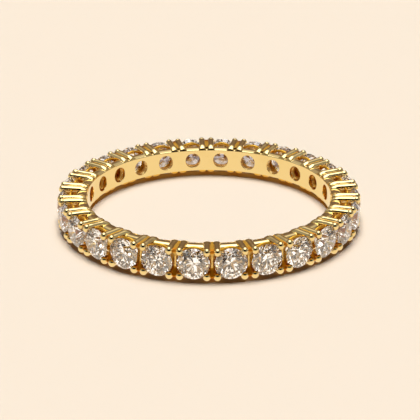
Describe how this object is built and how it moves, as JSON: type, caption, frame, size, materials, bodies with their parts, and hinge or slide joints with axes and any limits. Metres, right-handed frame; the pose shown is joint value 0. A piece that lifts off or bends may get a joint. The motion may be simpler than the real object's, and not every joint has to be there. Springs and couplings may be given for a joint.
{
  "type": "eternity ring",
  "caption": "Full eternity ring: a gold band with round brilliant stones all the way round, held in pairs of round prongs with ball tips.",
  "frame": {"origin": "centre of the finger hole, halfway up the band", "axes": "+Z along the ring's axis; a prong pair lies on +X and another on -X, and a stone on -Y and on +Y"},
  "size_m": [0.0214, 0.0214, 0.0024],
  "materials": {
    "gold": "polished yellow gold",
    "stone": "clear, colourless, brilliant cut"
  },
  "bodies": {
    "root": {"setting": "gold", "stone_01": "stone", "stone_02": "stone", "stone_03": "stone", "stone_04": "stone", "stone_05": "stone", "stone_06": "stone", "stone_07": "stone", "stone_08": "stone", "stone_09": "stone", "stone_10": "stone", "stone_11": "stone", "stone_12": "stone", "stone_13": "stone", "stone_14": "stone", "stone_15": "stone", "stone_16": "stone", "stone_17": "stone", "stone_18": "stone", "stone_19": "stone", "stone_20": "stone", "stone_21": "stone", "stone_22": "stone", "stone_23": "stone", "stone_24": "stone", "stone_25": "stone", "stone_26": "stone"}
  },
  "joints": []
}
